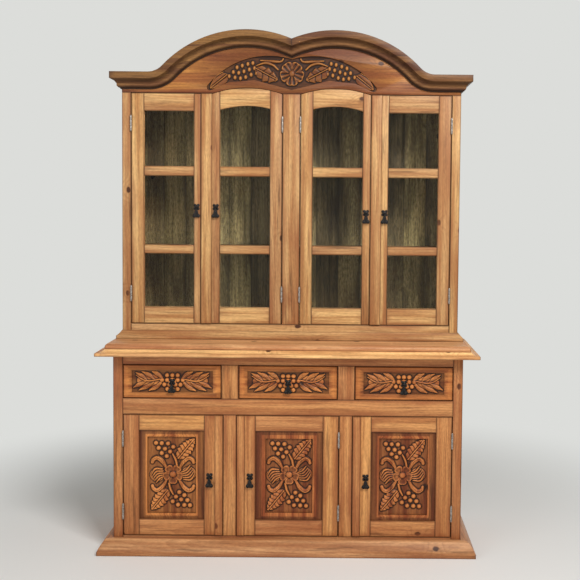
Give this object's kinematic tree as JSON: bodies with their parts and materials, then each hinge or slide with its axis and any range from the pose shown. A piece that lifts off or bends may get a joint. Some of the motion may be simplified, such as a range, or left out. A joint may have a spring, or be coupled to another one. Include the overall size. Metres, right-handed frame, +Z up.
{
  "type": "glazed hutch cabinet",
  "caption": "Rustic pine hutch: glazed doors under a double-arched carved crown, on a buffet with carved drawers and doors.",
  "frame": {"origin": "middle of the footprint on the floor: halfway between the sides and halfway from the counter's nosing to the back", "axes": "+X to the right of someone who faces the front, +Y to the back, +Z up"},
  "size_m": [1.516, 0.49, 2.1],
  "materials": {
    "pine": "waxed, honey brown",
    "dark_pine": "waxed, brown",
    "carved_pine": "waxed, stained dark in the carved ground",
    "rough_pine": "rough sawn, weathered grey brown",
    "glass": "clear sheet",
    "iron": "black, hand forged",
    "hinge_steel": "dull zinc"
  },
  "bodies": {
    "root": {"base_moulding": "pine", "buffet_back_boards": "rough_pine", "buffet_face_frame": "pine", "buffet_floor": "rough_pine", "buffet_sides": "pine", "counter_board": "pine", "counter_moulding": "pine", "crown_moulding": "dark_pine", "door_catches": "pine", "drawer_runners": "rough_pine", "hinge_frame_leaves": "hinge_steel", "hutch_back_boards": "rough_pine", "hutch_face_frame": "pine", "hutch_floor_and_roof": "rough_pine", "hutch_moulding": "pine", "hutch_sides": "pine", "pediment_board": "dark_pine", "shelves": "rough_pine"},
    "far_left_door": {"far_left_door_frame": "pine", "far_left_door_glass": "glass", "far_left_door_ironwork": "iron"},
    "inner_left_door": {"inner_left_door_frame": "pine", "inner_left_door_glass": "glass", "inner_left_door_ironwork": "iron"},
    "inner_right_door": {"inner_right_door_frame": "pine", "inner_right_door_glass": "glass", "inner_right_door_ironwork": "iron"},
    "far_right_door": {"far_right_door_frame": "pine", "far_right_door_glass": "glass", "far_right_door_ironwork": "iron"},
    "left_cupboard_door": {"left_cupboard_door_frame": "pine", "left_cupboard_door_ironwork": "iron", "left_cupboard_door_panel": "carved_pine"},
    "middle_cupboard_door": {"middle_cupboard_door_frame": "pine", "middle_cupboard_door_ironwork": "iron", "middle_cupboard_door_panel": "carved_pine"},
    "right_cupboard_door": {"right_cupboard_door_frame": "pine", "right_cupboard_door_ironwork": "iron", "right_cupboard_door_panel": "carved_pine"},
    "left_drawer": {"left_drawer_box": "rough_pine", "left_drawer_front": "carved_pine", "left_drawer_pull_plate": "iron"},
    "middle_drawer": {"middle_drawer_box": "rough_pine", "middle_drawer_front": "carved_pine", "middle_drawer_pull_plate": "iron"},
    "right_drawer": {"right_drawer_box": "rough_pine", "right_drawer_front": "carved_pine", "right_drawer_pull_plate": "iron"},
    "far_left_door_pull_drop": {"far_left_door_pull_drop": "iron"},
    "inner_left_door_pull_drop": {"inner_left_door_pull_drop": "iron"},
    "inner_right_door_pull_drop": {"inner_right_door_pull_drop": "iron"},
    "far_right_door_pull_drop": {"far_right_door_pull_drop": "iron"},
    "left_cupboard_door_pull_drop": {"left_cupboard_door_pull_drop": "iron"},
    "middle_cupboard_door_pull_drop": {"middle_cupboard_door_pull_drop": "iron"},
    "right_cupboard_door_pull_drop": {"right_cupboard_door_pull_drop": "iron"},
    "left_drawer_pull_drop": {"left_drawer_pull_drop": "iron"},
    "middle_drawer_pull_drop": {"middle_drawer_pull_drop": "iron"},
    "right_drawer_pull_drop": {"right_drawer_pull_drop": "iron"}
  },
  "joints": [
    {"name": "far_left_door_hinge", "type": "hinge", "parent": "root", "child": "far_left_door", "pos_m": [-0.652, -0.0643, 1.378], "axis": [0, 0, -1], "range_deg": [0, 115]},
    {"name": "inner_left_door_hinge", "type": "hinge", "parent": "root", "child": "inner_left_door", "pos_m": [-0.0365, -0.0643, 1.378], "axis": [0, 0, 1], "range_deg": [0, 85]},
    {"name": "inner_right_door_hinge", "type": "hinge", "parent": "root", "child": "inner_right_door", "pos_m": [0.0365, -0.0643, 1.378], "axis": [0, 0, -1], "range_deg": [0, 85]},
    {"name": "far_right_door_hinge", "type": "hinge", "parent": "root", "child": "far_right_door", "pos_m": [0.652, -0.0643, 1.378], "axis": [0, 0, 1], "range_deg": [0, 115]},
    {"name": "left_cupboard_door_hinge", "type": "hinge", "parent": "root", "child": "left_cupboard_door", "pos_m": [-0.6585, -0.1893, 0.312], "axis": [0, 0, -1], "range_deg": [0, 110]},
    {"name": "middle_cupboard_door_hinge", "type": "hinge", "parent": "root", "child": "middle_cupboard_door", "pos_m": [0.2045, -0.1893, 0.312], "axis": [0, 0, 1], "range_deg": [0, 90]},
    {"name": "right_cupboard_door_hinge", "type": "hinge", "parent": "root", "child": "right_cupboard_door", "pos_m": [0.6585, -0.1893, 0.312], "axis": [0, 0, 1], "range_deg": [0, 110]},
    {"name": "left_drawer_slide", "type": "slide", "parent": "root", "child": "left_drawer", "axis": [0, -1, 0], "range_m": [0, 0.28]},
    {"name": "middle_drawer_slide", "type": "slide", "parent": "root", "child": "middle_drawer", "axis": [0, -1, 0], "range_m": [0, 0.28]},
    {"name": "right_drawer_slide", "type": "slide", "parent": "root", "child": "right_drawer", "axis": [0, -1, 0], "range_m": [0, 0.28]},
    {"name": "far_left_door_pull_drop_pivot", "type": "hinge", "parent": "far_left_door", "child": "far_left_door_pull_drop", "pos_m": [-0.3855, -0.0705, 1.387], "axis": [-1, 0, 0], "range_deg": [0, 70]},
    {"name": "inner_left_door_pull_drop_pivot", "type": "hinge", "parent": "inner_left_door", "child": "inner_left_door_pull_drop", "pos_m": [-0.30725, -0.0705, 1.387], "axis": [-1, 0, 0], "range_deg": [0, 70]},
    {"name": "inner_right_door_pull_drop_pivot", "type": "hinge", "parent": "inner_right_door", "child": "inner_right_door_pull_drop", "pos_m": [0.3065, -0.0705, 1.369], "axis": [-1, 0, 0], "range_deg": [0, 70]},
    {"name": "far_right_door_pull_drop_pivot", "type": "hinge", "parent": "far_right_door", "child": "far_right_door_pull_drop", "pos_m": [0.3825, -0.0705, 1.369], "axis": [-1, 0, 0], "range_deg": [0, 70]},
    {"name": "left_cupboard_door_pull_drop_pivot", "type": "hinge", "parent": "left_cupboard_door", "child": "left_cupboard_door_pull_drop", "pos_m": [-0.313, -0.1955, 0.309], "axis": [-1, 0, 0], "range_deg": [0, 70]},
    {"name": "middle_cupboard_door_pull_drop_pivot", "type": "hinge", "parent": "middle_cupboard_door", "child": "middle_cupboard_door_pull_drop", "pos_m": [-0.151, -0.1955, 0.309], "axis": [-1, 0, 0], "range_deg": [0, 70]},
    {"name": "right_cupboard_door_pull_drop_pivot", "type": "hinge", "parent": "right_cupboard_door", "child": "right_cupboard_door_pull_drop", "pos_m": [0.313, -0.1955, 0.309], "axis": [-1, 0, 0], "range_deg": [0, 70]},
    {"name": "left_drawer_pull_drop_pivot", "type": "hinge", "parent": "left_drawer", "child": "left_drawer_pull_drop", "pos_m": [-0.46275, -0.1955, 0.6905], "axis": [-1, 0, 0], "range_deg": [0, 70]},
    {"name": "middle_drawer_pull_drop_pivot", "type": "hinge", "parent": "middle_drawer", "child": "middle_drawer_pull_drop", "pos_m": [0, -0.1955, 0.6905], "axis": [-1, 0, 0], "range_deg": [0, 70]},
    {"name": "right_drawer_pull_drop_pivot", "type": "hinge", "parent": "right_drawer", "child": "right_drawer_pull_drop", "pos_m": [0.46275, -0.1955, 0.6905], "axis": [-1, 0, 0], "range_deg": [0, 70]}
  ]
}
